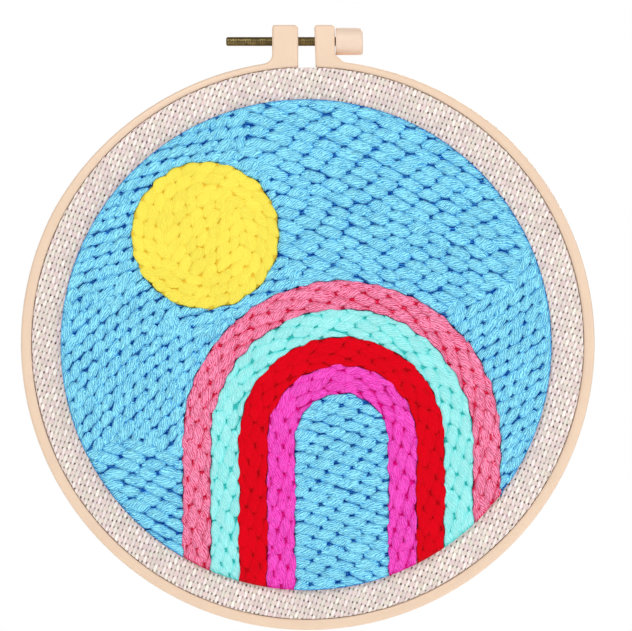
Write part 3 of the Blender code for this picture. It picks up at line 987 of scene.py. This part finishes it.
def cloth():
    rows = cloth_profile()
    angle = full_turn(CLOTH_STEPS)
    radius, height, out_r, out_h, flat_r = rows.T[:, :, None]
    u, v = weave_place(flat_r * np.cos(angle), flat_r * np.sin(angle))
    back = (out_h < 0) | (out_r < 0)
    relief = weave_height(u + back, v) * (radius > RELIEF_FROM)
    points = turned_about_hoop(radius + out_r * relief, height + out_h * relief, angle)
    # How far the cloth takes the painted shade under the yarn: fully in front, a little behind the loops.
    shaded_under_yarn = np.clip(depth_from(RIM, points[:, 0], points[:, 1]) - 0.8, 0, 1)
    shaded_under_yarn *= np.where(back + 0 * angle, 0.3, 1.0).ravel()
    weave = np.stack([(u + back).ravel(), v.ravel(), shaded_under_yarn], axis=-1)
    poles = [(0.0, 0.0, CLOTH_FRONT), (0.0, 0.0, CLOTH_FRONT - CLOTH_THICKNESS)]
    points = np.concatenate([points, poles])
    weave = np.concatenate([weave, [(*weave_place(0.0, 0.0), 1.0)] * 2])
    faces = closed_faces(len(rows), CLOTH_STEPS, flip=True)
    sheet = add_piece("woven_cloth", points, faces, cloth_material(), ["cloth"],
                      attributes={"weave": weave})


# Hoop.
RING_STEPS = 360
ROUNDING_STEPS = 6
SHARP_ANGLE = math.radians(40)
DRILL_STEPS = 40


def arc(x, y, radius, start, end, steps):
    """Points along an arc, both ends included; the angles are in radians."""
    angles = np.linspace(start, end, steps + 1)
    return [(x + radius * math.cos(a), y + radius * math.sin(a)) for a in angles]


def on_circle(radius, x):
    return (x, math.sqrt(radius * radius - x * x))


def bearing(point):
    return math.atan2(point[1], point[0])


def curve_between(start, bend, end, steps):
    """Inner points of the smooth corner from start to end that bend pulls on."""
    points = []
    for t in np.linspace(0, 1, steps + 1)[1:-1]:
        a, b, c = (1 - t) ** 2, 2 * t * (1 - t), t * t
        points.append(tuple(a * start[k] + b * bend[k] + c * end[k] for k in range(2)))
    return points


def trimmed(point):
    """A point of the ring's outer face, lowered to the circle that makes it thinner near the lugs."""
    x, y = point
    if y < 0:
        return point
    return (x, min(y, TRIM_Y + math.sqrt(TRIM_R ** 2 - (x - TRIM_X) ** 2)))


def ring_outline():
    """The split ring with its lugs, from the split's right side clockwise back to it."""
    turn = 2 * math.pi
    right_foot = on_circle(RING_INNER_R, SPLIT_RIGHT_FOOT_X)
    left_foot = on_circle(RING_INNER_R, SPLIT_LEFT_X)
    right_root = on_circle(RING_OUTER_R, LUG_RIGHT_X + RIGHT_CHAMFER_RUN)
    left_root = on_circle(RING_OUTER_R, LUG_LEFT_X - LEFT_FILLET)
    chamfer_top = (LUG_RIGHT_X, RIGHT_CHAMFER_TOP_Y)
    outer = arc(0, 0, RING_OUTER_R, bearing(right_root), bearing(left_root) - turn, RING_STEPS)
    outer = [trimmed(point) for point in outer]
    fillet_top = (LUG_LEFT_X, outer[-1][1] + LEFT_FILLET)
    fillet_bend = trimmed(on_circle(RING_OUTER_R, LUG_LEFT_X))
    inner = arc(0, 0, RING_INNER_R, bearing(left_foot), bearing(right_foot) + turn, RING_STEPS)
    right_lug = [(SPLIT_RIGHT_TOP_X, LUG_TOP_Y), (LUG_RIGHT_X, LUG_TOP_Y), chamfer_top]
    left_lug = [fillet_top, (LUG_LEFT_X, LUG_TOP_Y), (SPLIT_LEFT_X, LUG_TOP_Y)]
    return right_lug + outer + curve_between(outer[-1], fillet_bend, fillet_top, 8) + left_lug + inner


def outer_ring(material):
    """The split ring: its outline raised, its edges rounded and both lugs drilled for the screw."""
    bm = bmesh.new()
    corners = world([(x, y, 0.0) for x, y in ring_outline()])
    face = bm.faces.new([bm.verts.new(corner) for corner in corners])
    grown = bmesh.ops.extrude_face_region(bm, geom=[face])["geom"]
    lifted = [v for v in grown if isinstance(v, bmesh.types.BMVert)]
    bmesh.ops.translate(bm, verts=lifted, vec=(0, -RING_DEPTH * MM, 0))
    bmesh.ops.recalc_face_normals(bm, faces=bm.faces)
    mesh = bpy.data.meshes.new("ring_body")
    bm.to_mesh(mesh)
    bm.free()
    mesh.shade_smooth()
    ring = add_object("ring_body", mesh)
    bevel = ring.modifiers.new("rounding", "BEVEL")
    bevel.width, bevel.segments, bevel.limit_method = RING_ROUNDING * MM, ROUNDING_STEPS, "ANGLE"
    bevel.angle_limit, bevel.harden_normals = SHARP_ANGLE, True
    drill = drill_body()
    hole = ring.modifiers.new("screw_hole", "BOOLEAN")
    hole.operation, hole.solver, hole.object = "DIFFERENCE", "EXACT", drill
    made = bpy.data.meshes.new_from_object(ring.evaluated_get(bpy.context.evaluated_depsgraph_get()))
    made.name = "hoop_outer_ring"
    made.set_sharp_from_angle(angle=SHARP_ANGLE)
    for scratch in (ring, drill):
        bpy.data.objects.remove(scratch, do_unlink=True)
    dress("hoop_outer_ring", made, material, ["outer_ring"])


def turned_about_screw(radius, x, angle, pole_xs):
    """Points turned about the screw's axis, row by row, then its two poles; and the faces between them."""
    places = np.broadcast_arrays(x, SCREW_Y + radius * np.cos(angle), SCREW_H + radius * np.sin(angle))
    points = np.stack(places, axis=-1).reshape(-1, 3)
    poles = [(pole_x, SCREW_Y, SCREW_H) for pole_x in pole_xs]
    return np.concatenate([points, poles]), closed_faces(len(x), len(angle))


def drill_body():
    ends = (2 * LUG_LEFT_X, 2 * LUG_RIGHT_X)
    points, faces = turned_about_screw(SCREW_R + GAP, np.array(ends)[:, None], full_turn(DRILL_STEPS), ends)
    mesh = new_mesh("drill", points, faces)
    mesh.shade_flat()
    return add_object("drill", mesh)


def inner_ring(material):
    edge, corner_steps = INNER_RING_ROUNDING, 4
    inner_r, outer_r = INNER_RING_R - INNER_RING_WIDTH, INNER_RING_R
    quarter = math.pi / 2
    corners = (
        (outer_r - edge, edge, -quarter), (outer_r - edge, INNER_RING_TOP - edge, 0),
        (inner_r + edge, INNER_RING_TOP - edge, quarter), (inner_r + edge, edge, 2 * quarter),
    )
    section = []
    for r, h, start in corners:
        section += arc(r, h, edge, start, start + quarter, corner_steps)
    radius, height = np.array(section).T[:, :, None]
    points = turned_about_hoop(radius, height, full_turn(RING_STEPS))
    quads = grid_faces(len(section), RING_STEPS, wrap_rows=True, wrap_columns=True)
    add_piece("hoop_inner_ring", points, [quads], material, ["inner_ring"])


KNOB_STEPS = 96
KNOB_CORNER_STEPS = 6


def knob(material):
    edge, foot, bore = KNOB_ROUNDING, KNOB_FOOT_ROUNDING, SCREW_R + GAP
    socket_end = KNOB_LEFT_X + KNOB_SOCKET_DEPTH
    profile = [
        (bore, socket_end), (bore, KNOB_LEFT_X + 0.2), (bore + 0.2, KNOB_LEFT_X),
        *arc(KNOB_R - foot, KNOB_LEFT_X + foot, foot, -math.pi / 2, 0, KNOB_CORNER_STEPS),
        (KNOB_R, KNOB_LEFT_X + 3.0), (KNOB_R, KNOB_RIGHT_X - 3.0),
        *arc(KNOB_R - edge, KNOB_RIGHT_X - edge, edge, 0, math.pi / 2, KNOB_CORNER_STEPS),
        (KNOB_R * 0.45, KNOB_RIGHT_X),
    ]
    radius, x = np.array(profile).T[:, :, None]
    angle = full_turn(KNOB_STEPS)
    points, faces = turned_about_screw(radius, x, angle, (socket_end, KNOB_RIGHT_X))
    add_piece("screw_knob", points, faces, material, ["knob"], body="screw")


THREAD_PITCH, THREAD_DEPTH = 0.6, 0.14
THREAD_STEPS, ROWS_PER_PITCH = 28, 6
ROD_CHAMFER, CHAMFER_SLOPE = 0.5, 0.9


def threaded_rod(material):
    """The rod, its thread cut as a real helix, with chamfered ends."""
    ends = (SCREW_LEFT_X, SCREW_RIGHT_X)
    rows = round((SCREW_RIGHT_X - SCREW_LEFT_X) / THREAD_PITCH * ROWS_PER_PITCH)
    x = np.linspace(*ends, rows)[:, None]
    angle = full_turn(THREAD_STEPS)
    turn = x / THREAD_PITCH + angle / (2 * math.pi)
    tooth = np.clip(2 * (1 - np.abs(2 * (turn % 1) - 1)), 0, 1)
    from_end = np.minimum(x - SCREW_LEFT_X, SCREW_RIGHT_X - x)
    limit = SCREW_R - CHAMFER_SLOPE * np.clip(ROD_CHAMFER - from_end, 0, None)
    radius = np.minimum(SCREW_R - THREAD_DEPTH * (1 - tooth), limit)
    points, faces = turned_about_screw(radius, x, angle, ends)
    crest = np.concatenate([tooth.ravel(), [0.3, 0.3]])
    add_piece("threaded_rod", points, faces, material, ["clamp_screw"], body="screw",
              attributes={"crest": crest})


# Studio, in metres.
CAMERA_DISTANCE = 1.0
SENSOR_WIDTH = 36
VIEW_WIDTH = 0.2229
AIM_X, AIM_Z = CENTRE_X + 2.9 * MM, CENTRE_Z + 9.8 * MM
# Lights as name, place, width, watts and colour. The key is at the upper left, and the back one behind.
LIGHTS = (
    ("key", (-0.5, -1.1, 0.8), 0.62, 10.9, (1.0, 0.985, 0.96)),
    ("fill", (1.05, -0.5, 0.10), 0.8, 4.4, (0.96, 0.98, 1.0)),
    ("bounce", (0.0, -0.8, -0.95), 0.8, 0.9, (1.0, 0.99, 0.97)),
    ("back", (0.5, 1.1, 0.6), 0.8, 14, (1.0, 1.0, 1.0)),
)
ROOM_IN_FRONT, ROOM_BEHIND = 0.43, 0.14
FLOOR_Z, FLOOR_REACH = -0.62, 3.0
FLOOR_COLOUR, FLOOR_ROUGHNESS, FLOOR_GLOW = (0.86, 0.86, 0.85), 0.7, 0.4
WHITE = (1.0, 1.0, 1.0)


def camera():
    data = bpy.data.cameras.new("camera")
    data.sensor_width = SENSOR_WIDTH
    data.lens = data.sensor_width * CAMERA_DISTANCE / VIEW_WIDTH
    obj = add_object("camera", data)
    obj.location = (AIM_X, -RING_DEPTH * MM - CAMERA_DISTANCE, AIM_Z)
    obj.rotation_euler = (math.pi / 2, 0, 0)
    bpy.context.scene.camera = obj


def area_light(name, location, size, watts, colour):
    """A square light that faces the hoop's centre."""
    data = bpy.data.lights.new(name, "AREA")
    data.shape, data.size, data.energy, data.color = "SQUARE", size, watts, colour
    obj = add_object(name, data)
    obj.location = location
    aim = np.array([0, 0, CENTRE_Z]) - np.array(location)
    obj.rotation_euler = Vector(aim).to_track_quat("-Z", "Y").to_euler()


def room():
    """A room that lights the piece more from the front, and that the camera sees as plain white."""
    n = Nodes(bpy.data.worlds.new("studio"))
    light, surface = n.tree.nodes["Background"], n.tree.nodes["World Output"].inputs["Surface"]
    forward = n.separate(n.add("ShaderNodeTexCoord").outputs["Generated"])["Y"]
    n.put(light.inputs["Color"], WHITE)
    n.put(light.inputs["Strength"], n.remap(forward, -1.0, 1.0, ROOM_IN_FRONT, ROOM_BEHIND))
    seen = n.add("ShaderNodeBackground", {"Color": WHITE, "Strength": 1.0})
    by_camera = n.add("ShaderNodeLightPath").outputs["Is Camera Ray"]
    mixed = n.add("ShaderNodeMixShader", {0: by_camera, 1: light.outputs[0], 2: seen.outputs[0]})
    n.put(surface, mixed.outputs[0])
    bpy.context.scene.world = n.data


def add_floor():
    corners = [(x * FLOOR_REACH, y * FLOOR_REACH, FLOOR_Z) for x, y in ((-1, -1), (1, -1), (1, 1), (-1, 1))]
    mesh = bpy.data.meshes.new("floor")
    mesh.from_pydata(corners, [], [(0, 1, 2, 3)])
    mesh.materials.append(new_material("floor").finish(
        Base_Color=FLOOR_COLOUR, Roughness=FLOOR_ROUGHNESS,
        Emission_Color=WHITE, Emission_Strength=FLOOR_GLOW,
    ))
    floor = add_object("floor", mesh)


def studio():
    """Soft light and a plain pale floor."""
    for light in LIGHTS:
        area_light(*light)
    room()
    add_floor()
    view = bpy.context.scene.view_settings
    view.view_transform, view.look, view.exposure, view.gamma = "Standard", "None", 0.0, 1.0


camera()
studio()
peach = plastic_material("peach_plastic", srgb(234, 206, 180), srgb(238, 211, 185), srgb(237, 200, 179))
knob_peach = plastic_material("knob_plastic", srgb(236, 210, 190), srgb(239, 214, 193), srgb(232, 199, 182))
outer_ring(peach)
inner_ring(peach)
cloth()
yarn()
knob(knob_peach)
threaded_rod(brass_material())
